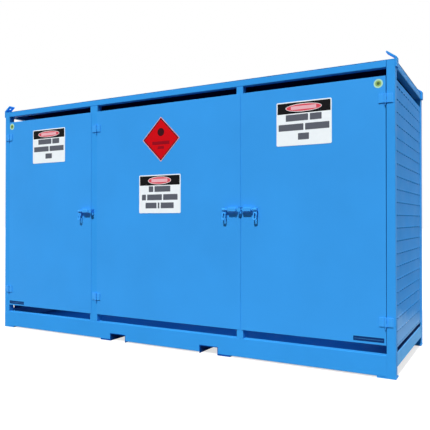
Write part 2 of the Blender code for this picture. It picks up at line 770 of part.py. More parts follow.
def pull(door, rod, rod_centre, sleeve_start):
    """A sleeve that turns on the bolt, with a slotted blade below it that is cranked outwards."""
    x = door.from_end(sleeve_start, sleeve_start + SLEEVE_LENGTH)
    centre = Vector(((x[0] + x[1]) / 2, BOLT_Y, LATCH_LEVEL))
    name = f"{door.name}_pull"
    sleeve = cylinder(name, "X", centre, SLEEVE_RADIUS, SLEEVE_LENGTH)
    neck_y = around(BOLT_Y, PULL_THICKNESS)
    neck_z = (LATCH_LEVEL - PULL_SHOULDER, LATCH_LEVEL - GUIDE_BORE_RADIUS)
    weld(sleeve, box(f"{name}_neck", around(centre.x, PULL_NECK_WIDTH), neck_y, neck_z))
    low = PULL_SHOULDER - PULL_LENGTH
    blade_radii = (PULL_ROUND, PULL_ROUND, 0, 0)
    ring = rounded_ring(around(0, PULL_WIDTH), (low, PULL_THICKNESS / 2), blade_radii)
    slot_low = low + PULL_ROUND
    slot_radii = (PULL_SLOT_WIDTH / 2 - GAP,) * 4
    slot = rounded_ring(around(0, PULL_SLOT_WIDTH), (slot_low, slot_low + PULL_SLOT_LENGTH), slot_radii)
    shoulder = centre - Vector((0, 0, PULL_SHOULDER))
    blade = outline(f"{name}_blade", [ring, slot], PULL_THICKNESS, shoulder)
    blade.rotation_euler.x = -PULL_LEAN
    weld(sleeve, blade)
    bore_length = SLEEVE_LENGTH + 2 * OVERRUN
    cut(sleeve, cylinder(f"{name}_bore", "X", centre, GUIDE_BORE_RADIUS, bore_length))
    carry(sleeve, rod, rod_centre)
    return paint(sleeve, LATCH_PAINT)


def sign(door, name, from_hinge, from_top, ring, finish):
    """A thin sign plate on a door's sheet."""
    centre = (
        door.hinge_edge + door.side * from_hinge,
        ON_SHEET - SIGN_THICKNESS / 2,
        DOOR_TOP - from_top,
    )
    plate = outline(name, [ring], SIGN_THICKNESS, centre)
    door.hang(plate)
    return paint(plate, finish)


def base_and_floor():
    """What the cage stands on: sills, side rails, fork pockets and the floor."""
    sill("front_sill", FRONT, 1)
    sill("rear_sill", REAR, -1)
    rail_y = (FRONT + POST_DEPTH + GAP, REAR - POST_DEPTH - GAP)
    for name, side in (("left", -1), ("right", 1)):
        x = span(side * SIDE, side * (SIDE - SIDE_RAIL_WIDTH))
        rail = tube(f"{name}_side_rail", x, rail_y, (SIDE_RAIL_BOTTOM, SIDE_RAIL_TOP), "Y")
        paint(rail, FRAME_PAINT)
        fork_pocket(f"{name}_fork_pocket", side)
    floor_deck()


def posts():
    """The corner posts, the two posts between the doors and the two behind them."""
    for y_name, y_side in (("front", -1), ("rear", 1)):
        for x_name, x_side in (("left", -1), ("right", 1)):
            corner_post(f"{y_name}_{x_name}_post", x_side, y_side)
            lifting_lug(f"{y_name}_{x_name}_lug", x_side, y_side)
    z = (SILL_TOP + GAP, RAIL_BOTTOM - GAP)
    front_y = (FRONT, FRONT + POST_DEPTH)
    rear_face = REAR - WALL_INSET - WALL_SHEET - GAP
    rear_y = (rear_face - REAR_POST_DEPTH, rear_face)
    middle_posts = (
        ("hinge_post", HINGE_POST_X, HINGE_POST_WIDTH, front_y),
        ("centre_post", CENTRE_POST_X, CENTRE_POST_WIDTH, front_y),
        ("rear_middle_post_left", HINGE_POST_X, REAR_POST_WIDTH, rear_y),
        ("rear_middle_post_right", CENTRE_POST_X, REAR_POST_WIDTH, rear_y),
    )
    for name, x, width, y in middle_posts:
        paint(tube(name, around(x, width), y, z, "Z"), FRAME_PAINT)


def top_and_roof():
    """The four top rails and the roof sheet on them."""
    z = (RAIL_BOTTOM, RAIL_TOP)
    x = (-CORNER_INNER + GAP, CORNER_INNER - GAP)
    y = (FRONT + POST_DEPTH + GAP, REAR - POST_DEPTH - GAP)
    front_y = (FRONT, FRONT + TOP_RAIL_WIDTH)
    rear_y = (REAR - TOP_RAIL_WIDTH, REAR)
    paint(tube("front_top_rail", x, front_y, z, "X"), FRAME_PAINT)
    paint(tube("rear_top_rail", x, rear_y, z, "X"), FRAME_PAINT)
    for name, side in (("left", -1), ("right", 1)):
        rail_x = span(side * SIDE, side * (SIDE - TOP_RAIL_WIDTH))
        paint(tube(f"{name}_top_rail", rail_x, y, z, "Y"), FRAME_PAINT)
    roof_sheet()


def walls():
    """The punched side walls and the plain rear wall."""
    side_wall("left_side_wall", -1)
    side_wall("right_side_wall", 1)
    rear_outer = REAR - WALL_INSET
    x = (-CORNER_INNER + GAP, CORNER_INNER - GAP)
    rear_z = (WALL_BOTTOM, RAIL_BOTTOM - GAP)
    rear = box("rear_wall", x, (rear_outer - WALL_SHEET, rear_outer), rear_z)
    paint(rear, WALL_PAINT)


def door_layout():
    """The three doors, left to right."""
    corner_edge = CORNER_INNER - CORNER_SLOT
    corner_frame = CORNER_INNER - CORNER_FRAME_CLEARANCE
    return (
        Door(
            "left",
            -corner_edge,
            LEFT_DOOR_FREE_EDGE,
            CORNER_HINGE_INSET,
            (-corner_frame, HINGE_POST_LEFT - FRAME_CLEARANCE),
            LEFT_KEEPER_X,
            laps_keeper=False,
        ),
        Door(
            "middle",
            HINGE_POST_RIGHT - HINGE_LAP,
            MEETING_X - MEETING_SEAM / 2,
            -HINGE_SETBACK,
            (HINGE_POST_RIGHT + FRAME_CLEARANCE, CENTRE_POST_LEFT - FRAME_CLEARANCE),
            MEETING_X,
            laps_keeper=True,
        ),
        Door(
            "right",
            corner_edge,
            MEETING_X + MEETING_SEAM / 2,
            CORNER_HINGE_INSET,
            (CENTRE_POST_RIGHT + FRAME_CLEARANCE, corner_frame),
            MEETING_X,
            laps_keeper=True,
        ),
    )


def signs(left, middle, right):
    """Three sign plates and one diamond."""
    plate_x = around(0, SIGN_WIDTH)
    plate_z = around(0, SIGN_HEIGHT)
    plate = rounded_ring(plate_x, plate_z, (SIGN_ROUND,) * 4)
    reach = DIAMOND_SIDE / math.sqrt(2)
    diamond = [(0, -reach), (reach, 0), (0, reach), (-reach, 0)]
    for door, name, from_hinge, from_top, ring, finish in (
        (left, "left_door_sign", LEFT_SIGN_FROM_HINGE, LEFT_SIGN_FROM_TOP, plate, SIGN_WHITE),
        (middle, "middle_door_sign", MIDDLE_SIGN_FROM_HINGE, MIDDLE_SIGN_FROM_TOP, plate, SIGN_WHITE),
        (right, "right_door_sign", RIGHT_SIGN_FROM_HINGE, RIGHT_SIGN_FROM_TOP, plate, SIGN_WHITE),
        (middle, "middle_door_diamond", DIAMOND_FROM_HINGE, DIAMOND_FROM_TOP, diamond, SIGN_RED),
    ):
        sign(door, name, from_hinge, from_top, ring, finish)


def build():
    base_and_floor()
    posts()
    top_and_roof()
    walls()
    keeper("left_keeper", LEFT_KEEPER_X)
    keeper("centre_keeper", MEETING_X)
    doors = door_layout()
    for door in doors:
        door_sheet(door)
        door_frame(door)
        hinge(door, "upper", DOOR_TOP - HINGE_FROM_TOP)
        hinge(door, "lower", DOOR_BOTTOM + HINGE_FROM_BOTTOM)
        latch_guide(door)
        pull(door, *bolt(door))
    signs(*doors)


build()
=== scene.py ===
# %% [markdown]
# # A steel storage cage, painted and lit
#
# This lesson takes the bare solids of a relocatable cage for gas cylinders and gives them the
# looks of the painted one: rolled edges, brows over the vents, printed plates, powder coat, a
# white floor and plain light. The solids come from the CAD model and never move. New pieces are
# modelled around them, in metres, and every piece rides on one of the cage's moving bodies, so
# that the doors still open.

# %% Tools for this lesson
import json
from math import atan, degrees, pi, radians

import bmesh
import bpy
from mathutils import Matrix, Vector

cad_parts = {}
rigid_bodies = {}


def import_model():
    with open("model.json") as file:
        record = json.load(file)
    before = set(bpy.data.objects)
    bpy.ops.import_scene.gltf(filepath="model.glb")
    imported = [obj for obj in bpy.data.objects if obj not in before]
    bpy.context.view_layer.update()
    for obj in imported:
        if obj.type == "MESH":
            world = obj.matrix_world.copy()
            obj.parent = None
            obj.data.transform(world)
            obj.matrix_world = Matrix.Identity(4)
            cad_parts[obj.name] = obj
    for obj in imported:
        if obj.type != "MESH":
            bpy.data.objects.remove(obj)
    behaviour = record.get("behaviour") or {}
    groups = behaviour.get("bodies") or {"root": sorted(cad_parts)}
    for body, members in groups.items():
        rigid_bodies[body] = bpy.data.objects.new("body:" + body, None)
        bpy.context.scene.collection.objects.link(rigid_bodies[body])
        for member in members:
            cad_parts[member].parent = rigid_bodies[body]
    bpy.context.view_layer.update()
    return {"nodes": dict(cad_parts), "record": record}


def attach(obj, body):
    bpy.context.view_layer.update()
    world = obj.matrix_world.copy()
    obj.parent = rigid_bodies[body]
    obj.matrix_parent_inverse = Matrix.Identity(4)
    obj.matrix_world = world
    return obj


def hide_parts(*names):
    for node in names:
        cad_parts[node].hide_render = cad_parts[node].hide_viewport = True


for leftover in list(bpy.data.objects):
    bpy.data.objects.remove(leftover)
print("the file is empty and the tools are loaded")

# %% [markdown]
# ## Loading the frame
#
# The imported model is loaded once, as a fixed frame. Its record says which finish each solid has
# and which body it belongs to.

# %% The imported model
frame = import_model()
BODY_OF = {
    node: body for body, nodes in frame["record"]["behaviour"]["bodies"].items() for node in nodes
}
SLOT_OF = {row["node"]: row["material_slot"] for row in frame["record"]["subparts"]}
DOORS = ("left", "middle", "right")

# %% [markdown]
# ## The camera
#
# The picture was taken from in front and to the right, at about chest height. A camera was fitted
# to corners that can be measured in it: the ends of the sill, the posts, the roof and the doors.
# The fit gives the place, the turn and the focal length. The small shift says that the picture's
# middle isn't quite the lens's middle. A real lens also bends straight lines a little. A plain
# camera doesn't, so a few edges fall a pixel or two beside their places.

# %% Camera
CAMERA_PLACE = (2.5305, -4.1921, 1.0442)
CAMERA_TURN = (radians(90.424), radians(0.007), radians(28.71))
CAMERA_SHIFT = (-0.00887, 0.00168)
LENS, SENSOR = 45.057, 36.0

camera_data = bpy.data.cameras.new("camera")
camera_data.lens = LENS
camera_data.sensor_width = SENSOR
camera_data.shift_x, camera_data.shift_y = CAMERA_SHIFT
camera = bpy.data.objects.new("camera", camera_data)
camera.location = CAMERA_PLACE
camera.rotation_euler = CAMERA_TURN
bpy.context.collection.objects.link(camera)
bpy.context.scene.camera = camera
print("the lens sees", round(2 * degrees(atan(SENSOR / 2 / LENS)), 1), "degrees across")

# %% [markdown]
# ## Working on one object at a time
#
# Blender's operators act on whatever is selected. These helpers pick out one object alone, open
# it in edit mode with nothing selected, and select faces, edges or vertices by a question about
# their place or direction. That keeps each later step down to a line or two.

# %% Selecting and editing
def only(piece):
    """Selects this object alone and makes it the active one."""
    bpy.ops.object.select_all(action="DESELECT")
    piece.select_set(True)
    bpy.context.view_layer.objects.active = piece


def open_mesh(piece, kind="FACE"):
    """Enters edit mode on this object with nothing selected."""
    only(piece)
    bpy.ops.object.mode_set(mode="EDIT")
    bpy.ops.mesh.select_mode(type=kind)
    bpy.ops.mesh.select_all(action="DESELECT")


def close_mesh():
    """Goes back to object mode, which writes the edits into the mesh."""
    bpy.ops.object.mode_set(mode="OBJECT")


def pick(piece, kind, wanted):
    """In edit mode, selects only the faces, edges or vertices that pass the test. Says how many."""
    bpy.ops.mesh.select_mode(type=kind)
    bpy.ops.mesh.select_all(action="DESELECT")
    mesh = bmesh.from_edit_mesh(piece.data)
    mesh.normal_update()
    parts = {"FACE": mesh.faces, "EDGE": mesh.edges, "VERT": mesh.verts}[kind]
    chosen = [part for part in parts if wanted(part)]
    for part in chosen:
        part.select_set(True)
    mesh.select_flush_mode()
    bmesh.update_edit_mesh(piece.data)
    return len(chosen)


def direction_of(edge):
    """The way an edge runs, as a vector of length 1."""
    return (edge.verts[1].co - edge.verts[0].co).normalized()


# %% [markdown]
# ## Modifiers and resting places
#
# A modifier keeps its settings open until it is applied. Here each one is applied at once, so the
# next step works on the real mesh. A finished piece has its place, turn and size in its mesh and
# its object at the origin, as the CAD solids have, and all its faces point outwards.

# %% Applying and settling
def apply_modifier(piece, kind, **settings):
    """Adds a modifier with these settings and applies it at once."""
    only(piece)
    modifier = piece.modifiers.new(kind.lower(), kind)
    for key, value in settings.items():
        setattr(modifier, key, value)
    bpy.ops.object.modifier_apply(modifier=modifier.name)


def settle(piece, name):
    """Names the object and moves its place, turn and scale into its mesh."""
    only(piece)
    bpy.ops.object.transform_apply(location=True, rotation=True, scale=True)
    piece.name = name
    piece.data.name = name
    return piece


def point_outwards(piece):
    """Turns every face of a closed shape outwards."""
    open_mesh(piece)
    bpy.ops.mesh.select_all(action="SELECT")
    bpy.ops.mesh.normals_make_consistent(inside=False)
    close_mesh()


# %% [markdown]
# ## Rounded edges
#
# No edge on the real cage is razor sharp. Square tube has corners of a few millimetres' radius,
# folded sheet a little less, and paint softens the rest. The edges could be rounded in the
# material, but then the outline stays hard. So a copy of each solid is merged into one skin, its
# edges get a real bevel, and the copy stands in for the solid. The shading is weighted by face
# area, which keeps the flats flat while the narrow bevels catch the light.

# %% A merged copy of a solid
MERGE_WITHIN = 0.00002
FLAT_WITHIN, SMOOTH_BELOW = radians(0.5), radians(40)


def merged_copy(node):
    """A copy of a CAD solid as one clean skin, at rest and on no body yet."""
    only(frame["nodes"][node])
    bpy.ops.object.duplicate()
    piece = bpy.context.active_object
    bpy.ops.object.parent_clear(type="CLEAR_KEEP_TRANSFORM")
    for mark in list(piece.keys()):
        del piece[mark]
    bpy.ops.mesh.customdata_custom_splitnormals_clear()
    open_mesh(piece)
    bpy.ops.mesh.select_all(action="SELECT")
    bpy.ops.mesh.remove_doubles(threshold=MERGE_WITHIN)
    bpy.ops.mesh.dissolve_limited(angle_limit=FLAT_WITHIN)
    close_mesh()
    return settle(piece, "shaped_" + node)


def smooth(piece):
    """Smooth shading below an angle, with the large faces kept flat."""
    only(piece)
    bpy.ops.object.shade_smooth_by_angle(angle=SMOOTH_BELOW)
    apply_modifier(piece, "WEIGHTED_NORMAL", keep_sharp=True)


# %% Rounds on all edges or on long ones
BEVEL_ABOVE = radians(30)
LONG_EDGE, CORNER_ABOVE, PARALLEL = 0.02, radians(80), 0.9999


def round_edges(piece, radius, segments=2):
    """A small round on every edge that turns by more than thirty degrees."""
    apply_modifier(
        piece, "BEVEL", width=radius, segments=segments, limit_method="ANGLE",
        angle_limit=BEVEL_ABOVE, use_clamp_overlap=True,
    )


def round_long_edges(piece, axis, radius, segments=4):
    """A larger round on the outer corners that run along one axis, as on rolled tube."""
    open_mesh(piece, "EDGE")
    found = pick(
        piece, "EDGE",
        lambda e: e.is_manifold and e.is_convex and abs(direction_of(e).dot(axis)) > PARALLEL
        and e.calc_length() > LONG_EDGE and e.calc_face_angle() > CORNER_ABOVE,
    )
    if found:
        bpy.ops.mesh.bevel(offset_type="OFFSET", offset=radius, segments=segments, profile=0.5)
    close_mesh()
    return found


# %% [markdown]
# ## Building a material from nodes
#
# A material is a small network: coordinates feed noise, noise is mapped to a range, and the result
# mixes two colours, sets the roughness or raises a bump. It could be drawn by hand in the shader
# editor. Written as helpers, the same few blocks serve every finish. All of them read Object
# coordinates, so a pattern has its real size and stays where it is on a piece.

# %% Nodes and links
def add_node(tree, kind, place, **settings):
    """A node at a place on the shader editor's canvas, with these settings."""
    node = tree.nodes.new(kind)
    node.location = place
    for key, value in settings.items():
        setattr(node, key, value)
    return node


def connect(tree, value, socket):
    """Feeds a socket from another node's output, or sets a plain number or colour on it."""
    if isinstance(value, bpy.types.NodeSocket):
        tree.links.new(value, socket)
    else:
        socket.default_value = value


def arithmetic(tree, place, operation, *values):
    """A math node on these values, each a number or another node's output."""
    node = add_node(tree, "ShaderNodeMath", place, operation=operation)
    for value, socket in zip(values, node.inputs):
        connect(tree, value, socket)
    return node.outputs[0]


def coordinate(tree, place, vector, letter):
    """One coordinate of a vector: X, Y or Z."""
    node = add_node(tree, "ShaderNodeSeparateXYZ", place)
    tree.links.new(vector, node.inputs[0])
    return node.outputs[letter]


# %% Noise, ranges, blends and bumps
def noise(tree, place, coordinates, scale, detail=2.0, rough=0.5):
    """Soft clouds. A higher scale makes them smaller, and detail adds finer ones on top."""
    node = add_node(tree, "ShaderNodeTexNoise", place)
    node.inputs["Scale"].default_value = scale
    node.inputs["Detail"].default_value = detail
    node.inputs["Roughness"].default_value = rough
    tree.links.new(coordinates, node.inputs["Vector"])
    return node.outputs["Fac"]


def spread(tree, place, value, low, high, start=0.3, end=0.7):
    """Maps a value to a range. Noise stays mostly between 0.3 and 0.7, which is why it starts there."""
    node = add_node(tree, "ShaderNodeMapRange", place)
    for socket, number in (("From Min", start), ("From Max", end), ("To Min", low), ("To Max", high)):
        node.inputs[socket].default_value = number
    tree.links.new(value, node.inputs["Value"])
    return node.outputs["Result"]


def blend_colours(tree, place, factor, first, second):
    """Mixes two colours, each a plain one or another node's output."""
    node = add_node(tree, "ShaderNodeMix", place, data_type="RGBA")
    connect(tree, first, node.inputs["A"])
    connect(tree, second, node.inputs["B"])
    tree.links.new(factor, node.inputs["Factor"])
    return next(output for output in node.outputs if output.type == "RGBA")


def bump(tree, place, height, strength, distance, under=None):
    """Tilts the shading as if the surface rose by this distance, on top of another bump if given."""
    node = add_node(tree, "ShaderNodeBump", place)
    node.inputs["Strength"].default_value = strength
    node.inputs["Distance"].default_value = distance
    tree.links.new(height, node.inputs["Height"])
    if under is not None:
        tree.links.new(under, node.inputs["Normal"])
    return node.outputs["Normal"]


# %% Colours and an empty material
def linear(colour):
    """Turns a 0 to 255 picture colour into the linear numbers that a shader wants."""
    steps = [c / 255 for c in colour]
    return tuple(s / 12.92 if s <= 0.04045 else ((s + 0.055) / 1.055) ** 2.4 for s in steps) + (1.0,)


def shade(colour, amount):
    """The same colour, a little lighter or darker."""
    return tuple(min(1.0, c * amount) for c in colour[:3]) + (1.0,)


def new_material(name):
    """A material with its shader, and the Object coordinates that all patterns read."""
    material = bpy.data.materials.new(name)
    material.use_nodes = True
    tree = material.node_tree
    shader = next(n for n in tree.nodes if n.type == "BSDF_PRINCIPLED")
    shader.location = (600, 0)
    place = add_node(tree, "ShaderNodeTexCoord", (-900, 0)).outputs["Object"]
    return material, tree, shader, place


def drifting_tone(tree, cloud, colour, drift):
    """A colour that drifts a little lighter and darker with a cloud of noise."""
    factor = spread(tree, (-400, 200), cloud, 0.0, 1.0)
    base = linear(colour)
    return blend_colours(tree, (-200, 200), factor, shade(base, 1 - drift), shade(base, 1 + drift))


# %% [markdown]
# ## Painted reflection and painted shade
#
# Three layers lie on the paint, and all three are painted light and shade. Low on the walls a
# paler blue is a painted reflection of the bright floor; its upper limit slants down to the rear
# and is uneven. The underside of the roof never sees the sun, and its near black is painted shade.
# On the ledge of each side rail, in the slot below the wall, a dark blue is painted shade. Each
# could be a piece of geometry or a second material, but a reflection has no edge to model, and a
# cover that depends on height alone needs no marks on the mesh. A cover is a number from 0, bare
# paint, to 1, only the layer.

# %% Painted reflection low on the walls
# Painted reflection: the walls turn paler towards the bottom, as if the bright floor shone in them.
PAINTED_REFLECTION = (152, 202, 248)
REFLECTION_TOP, REFLECTION_SLOPE, REFLECTION_EDGE, REFLECTION_COVER = 0.37, 0.18, 0.10, 0.48
REFLECTION_WANDER, REFLECTION_CLOUDS = 0.03, 5.0


def painted_reflection_cover(tree, place):
    """How much painted reflection of the floor lies on a wall: most low down, none above a slanting and
    uneven line.
    """
    cloud = noise(tree, (-1100, 900), place, REFLECTION_CLOUDS, 3.0)
    wander = spread(tree, (-900, 900), cloud, -REFLECTION_WANDER, REFLECTION_WANDER)
    height = coordinate(tree, (-900, 600), place, "Z")
    depth = coordinate(tree, (-900, 400), place, "Y")
    uneven = arithmetic(tree, (-700, 900), "ADD", height, wander)
    slant = arithmetic(tree, (-700, 600), "MULTIPLY_ADD", depth, REFLECTION_SLOPE, uneven)
    return spread(tree, (-500, 600), slant, REFLECTION_COVER, 0.0, REFLECTION_TOP - REFLECTION_EDGE, REFLECTION_TOP)


# %% Painted shade below the roof and on the ledges
# Painted shade: near black below the roof, dark blue on the ledges in the slot below the walls.
ROOF_SHADE, LEDGE_SHADE = (14, 36, 72), (8, 40, 92)
ROOF_UNDERSIDE, UNDERSIDE_EDGE = 2.0975, 0.0004
LEDGE_LEVEL, LEDGE_EDGE = 0.1690, 0.0008


def roof_shade_cover(tree, place):
    """Painted shade: 1 on the roof's underside and its ribs, 0 on its top."""
    height = coordinate(tree, (-900, 600), place, "Z")
    edge = (ROOF_UNDERSIDE, ROOF_UNDERSIDE + UNDERSIDE_EDGE)
    return spread(tree, (-500, 600), height, 1.0, 0.0, *edge)


def ledge_shade_cover(tree, place):
    """Painted shade: 1 on the ledge of a side rail, in the slot below the wall, and 0 on its face."""
    height = coordinate(tree, (-900, 600), place, "Z")
    edge = (LEDGE_LEVEL - LEDGE_EDGE, LEDGE_LEVEL)
    return spread(tree, (-500, 600), height, 0.0, 1.0, *edge)


LAYERS = {
    "painted_reflection": (PAINTED_REFLECTION, painted_reflection_cover),
    "roof_shade": (ROOF_SHADE, roof_shade_cover),
    "ledge_shade": (LEDGE_SHADE, ledge_shade_cover),
}
print(len(LAYERS), "layers can lie on the paint")

# %% [markdown]
# ## Paint
#
# The whole cage has one blue powder coat. Powder flows out to a semi-gloss skin with a fine
# orange peel, and thin sheet under it is never quite flat, so a sheet's reflections wander. Both
# are bumps at their own scales. The colour drifts by a few hundredths over the cage. A number
# that is the same everywhere, such as how much the skin mirrors, sits on the shader itself.
# Print on a plate is enamel: flatter than powder, and with a grain too fine to see as peel.

# %% Powder coat
TONE_SCALE, TONE_DRIFT = 1.7, 0.04
SKIN_SCALE, SKIN_SMOOTHER, SKIN_ROUGHER = 9.0, 0.04, 0.05
PEEL_SCALE, PEEL_STRENGTH, PEEL_DEPTH = 380.0, 0.16, 0.0004
SWELL_SCALE, SWELL_DEPTH = 2.6, 0.02


def powder_coat(name, colour, roughness, gloss, waves=0.0, layer=None):
    """A paint with a fine orange peel, with the slow waves of thin sheet or a layer of painted light
    and shade if asked.
    """
    material, tree, shader, place = new_material(name)
    tone = drifting_tone(tree, noise(tree, (-600, 200), place, TONE_SCALE, 4.0), colour, TONE_DRIFT)
    if layer:
        layer_colour, cover = LAYERS[layer]
        tone = blend_colours(tree, (0, 400), cover(tree, place), tone, linear(layer_colour))
    tree.links.new(tone, shader.inputs["Base Color"])
    cloud = noise(tree, (-600, -50), place, SKIN_SCALE, 3.0)
    skin = spread(tree, (-400, -50), cloud, roughness - SKIN_SMOOTHER, roughness + SKIN_ROUGHER)
    tree.links.new(skin, shader.inputs["Roughness"])
    fine = noise(tree, (-300, -300), place, PEEL_SCALE, 1.0)
    peel = bump(tree, (0, -300), fine, PEEL_STRENGTH, PEEL_DEPTH)
    if waves:
        swell = noise(tree, (-300, -500), place, SWELL_SCALE, 1.0)
        peel = bump(tree, (250, -300), swell, waves, SWELL_DEPTH, under=peel)
    tree.links.new(peel, shader.inputs["Normal"])
    shader.inputs["Specular IOR Level"].default_value = gloss
    return material


# %% Enamel
SMUDGE_SCALE, SHEEN_SCALE = 22.0, 60.0
SHEEN_SMOOTHER, SHEEN_ROUGHER = 0.05, 0.06
GRAIN_SCALE, GRAIN_STRENGTH, GRAIN_DEPTH = 900.0, 0.08, 0.0002


def enamel(name, colour, roughness=0.42, drift=0.02, gloss=0.5):
    """Printed or baked enamel on a plate or sticker, with a little handling dirt."""
    material, tree, shader, place = new_material(name)
    tone = drifting_tone(tree, noise(tree, (-600, 200), place, SMUDGE_SCALE, 5.0, 0.6), colour, drift)
    tree.links.new(tone, shader.inputs["Base Color"])
    cloud = noise(tree, (-600, -50), place, SHEEN_SCALE)
    skin = spread(tree, (-400, -50), cloud, roughness - SHEEN_SMOOTHER, roughness + SHEEN_ROUGHER)
    tree.links.new(skin, shader.inputs["Roughness"])
    fine = noise(tree, (-300, -300), place, GRAIN_SCALE, 1.0)
    tree.links.new(bump(tree, (0, -300), fine, GRAIN_STRENGTH, GRAIN_DEPTH), shader.inputs["Normal"])
    shader.inputs["Specular IOR Level"].default_value = gloss
    return material


# %% [markdown]
# ## The finishes
#
# The record names seven finishes. The doors, the frame, the side walls, the fittings and the
# unlit inside are all one blue, but they were measured apart in the picture, where each catches
# the light in its own way, so the small differences between their blues are painted light and
# shade. The darker blue of the unlit inside is painted shade. One blue for all would be simpler,
# and would miss each of them by a little. Four solids have a finish of their own: the roof with
# painted shade below it, the deck in the darker inside blue, and the two side rails, a lighter
# blue of painted light with painted shade on their ledges.

# %% Finishes of the record
SHEET_WAVES = 0.05
FINISH = {
    "door_paint": powder_coat("door_blue", (53, 150, 228), 0.42, 0.14, waves=SHEET_WAVES),
    "frame_paint": powder_coat("frame_blue", (52, 150, 228), 0.50, 0.05),
    # The walls carry the painted reflection of the floor, paler towards the bottom.
    "wall_paint": powder_coat("wall_blue", (50, 146, 226), 0.60, 0.06, waves=SHEET_WAVES, layer="painted_reflection"),
    # The darker inside blue is painted shade.
    "inner_paint": powder_coat("inner_blue", (12, 80, 170), 0.55, 0.02),
    "hardware_paint": powder_coat("fittings_blue", (54, 154, 234), 0.34, 0.25),
    "sign_white": enamel("plate_white", (234, 241, 245)),
    "sign_red": enamel("plate_red", (200, 8, 20), 0.5, gloss=0.08),
}
print(len(FINISH), "finishes from the record")

# %% Print, labels and single solids
PRINT = {
    "black": enamel("print_black", (2, 2, 4), 0.6, 0.1, gloss=0.1),
    "grey": enamel("print_grey", (84, 88, 98), 0.45, gloss=0.2),
    "rose": enamel("print_rose", (206, 62, 80), 0.40),
    "blush": enamel("print_blush", (226, 172, 182), 0.40),
    "white": enamel("print_white", (244, 244, 244), 0.40),
    "dark_red": enamel("print_dark_red", (50, 2, 10), 0.5, 0.08, gloss=0.1),
    "wine": enamel("print_wine", (140, 4, 24), 0.5, 0.08, gloss=0.1),
    "lime": enamel("label_lime", (168, 216, 186), 0.45, 0.05),
    "olive": enamel("label_olive", (134, 164, 84), 0.45, 0.05),
    "green": enamel("label_green", (44, 84, 34), 0.45, 0.05),
    "navy": enamel("label_navy", (12, 52, 108), 0.5, 0.08, gloss=0.06),
    "steel": enamel("label_steel", (48, 104, 160), 0.5, 0.08, gloss=0.06),
}
SPECIAL = {
    # The roof's underside and ribs carry painted shade.
    "roof_sheet": powder_coat(
        "roof_blue", (52, 150, 228), 0.60, 0.0, waves=SHEET_WAVES, layer="roof_shade"),
    # The deck's darker blue is painted shade.
    "floor_deck": powder_coat("deck_blue", (12, 80, 170), 0.55, 0.02),
}
# The side rails are a lighter blue, which is painted light, with painted shade on their ledges.
for side in ("left", "right"):
    SPECIAL[f"{side}_side_rail"] = powder_coat(
        f"{side}_rail_blue", (84, 176, 244), 0.50, 0.05, layer="ledge_shade")
print(len(PRINT), "finishes for print and labels,", len(SPECIAL), "for single solids")


# %% Putting a finish and a body on a piece
def finish_of(node):
    """The finish of a solid: its own if it has one, or else the one that its slot names."""
    return SPECIAL.get(node, FINISH[SLOT_OF[node]])


def wear(piece, material):
    """Gives a piece one material."""
    piece.data.materials.clear()
    piece.data.materials.append(material)


def stand_in(piece, node):
    """The piece takes a solid's place, its body and its finish."""
    wear(piece, finish_of(node))
    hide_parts(node)
    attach(piece, BODY_OF[node])
    return piece


def belong(piece, body, material):
    """A new piece of its own, on a body, with a material."""
    wear(piece, material)
    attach(piece, body)
    return piece


# %% [markdown]
# ## Posts and rails
#
# The uprights and the top and bottom rails are square and rectangular tube, whose long corners
# are rolled to about five millimetres. On the front right post that corner draws a bright upright
# line. The sills are folded channel and the fork pockets thin box, with tighter corners. A bevel
# by angle alone would give every edge the same round, so the long edges are picked by their
# direction and get theirs first. All that stay sharp then get under a millimetre, which is what a
# saw cut has after deburring and paint.

# %% Rolled tube
TUBE_ROUND, CHANNEL_ROUND, POCKET_ROUND, CUT_ROUND = 0.005, 0.0040, 0.0022, 0.0007
ALONG_X, ALONG_Y, ALONG_Z = Vector((1, 0, 0)), Vector((0, 1, 0)), Vector((0, 0, 1))
UPRIGHTS = (
    "front_left_post", "front_right_post", "rear_left_post", "rear_right_post",
    "hinge_post", "centre_post", "rear_middle_post_left", "rear_middle_post_right",
)
TUBES = (
    [(node, ALONG_Z, TUBE_ROUND) for node in UPRIGHTS]
    + [(node, ALONG_X, TUBE_ROUND) for node in ("front_top_rail", "rear_top_rail")]
    + [(f"{side}_{rail}", ALONG_Y, TUBE_ROUND) for side in ("left", "right")
       for rail in ("top_rail", "side_rail")]
    + [(node, ALONG_X, CHANNEL_ROUND) for node in ("front_sill", "rear_sill")]
    + [(f"{side}_fork_pocket", ALONG_Y, POCKET_ROUND) for side in ("left", "right")]
)
for node, axis, radius in TUBES:
    piece = merged_copy(node)
    found = round_long_edges(piece, axis, radius)
    round_edges(piece, CUT_ROUND)
    smooth(piece)
    stand_in(piece, node)
    print(node, "has", found, "long corners rounded and", len(piece.data.polygons), "faces")

# %% [markdown]
# ## Sheets, fittings and lugs
#
# The door skins are three millimetre sheet, folded at the rim, so their front edge rolls over
# instead of ending in a corner. The fittings are cut plate and bar, and a hinge leaf has a
# clearly rounded rim. One radius for all would look moulded. Each piece gets the round that its
# making leaves: two millimetres on a fold, less on plate, and a fraction on small hardware.

# %% The rim of a hinge leaf
LEAF_ROUND, LEAF_EDGE = 0.0022, 0.015
SAME_PLANE = 0.00005


def round_leaf_rim(piece, radius):
    """A clear round where a hinge leaf's flat outer face meets its edges, as on a forged leaf."""
    open_mesh(piece, "EDGE")
    mesh = bmesh.from_edit_mesh(piece.data)
    broad = max((f for f in mesh.faces if f.normal.y < -0.999), key=lambda f: f.calc_area())
    face_y = broad.calc_center_median().y
    pick(
        piece, "EDGE",
        lambda e: e.is_manifold and e.is_convex and e.calc_length() > LEAF_EDGE
        and all(abs(v.co.y - face_y) < SAME_PLANE for v in e.verts),
    )
    bpy.ops.mesh.bevel(offset_type="OFFSET", offset=radius, segments=3, profile=0.5)
    close_mesh()


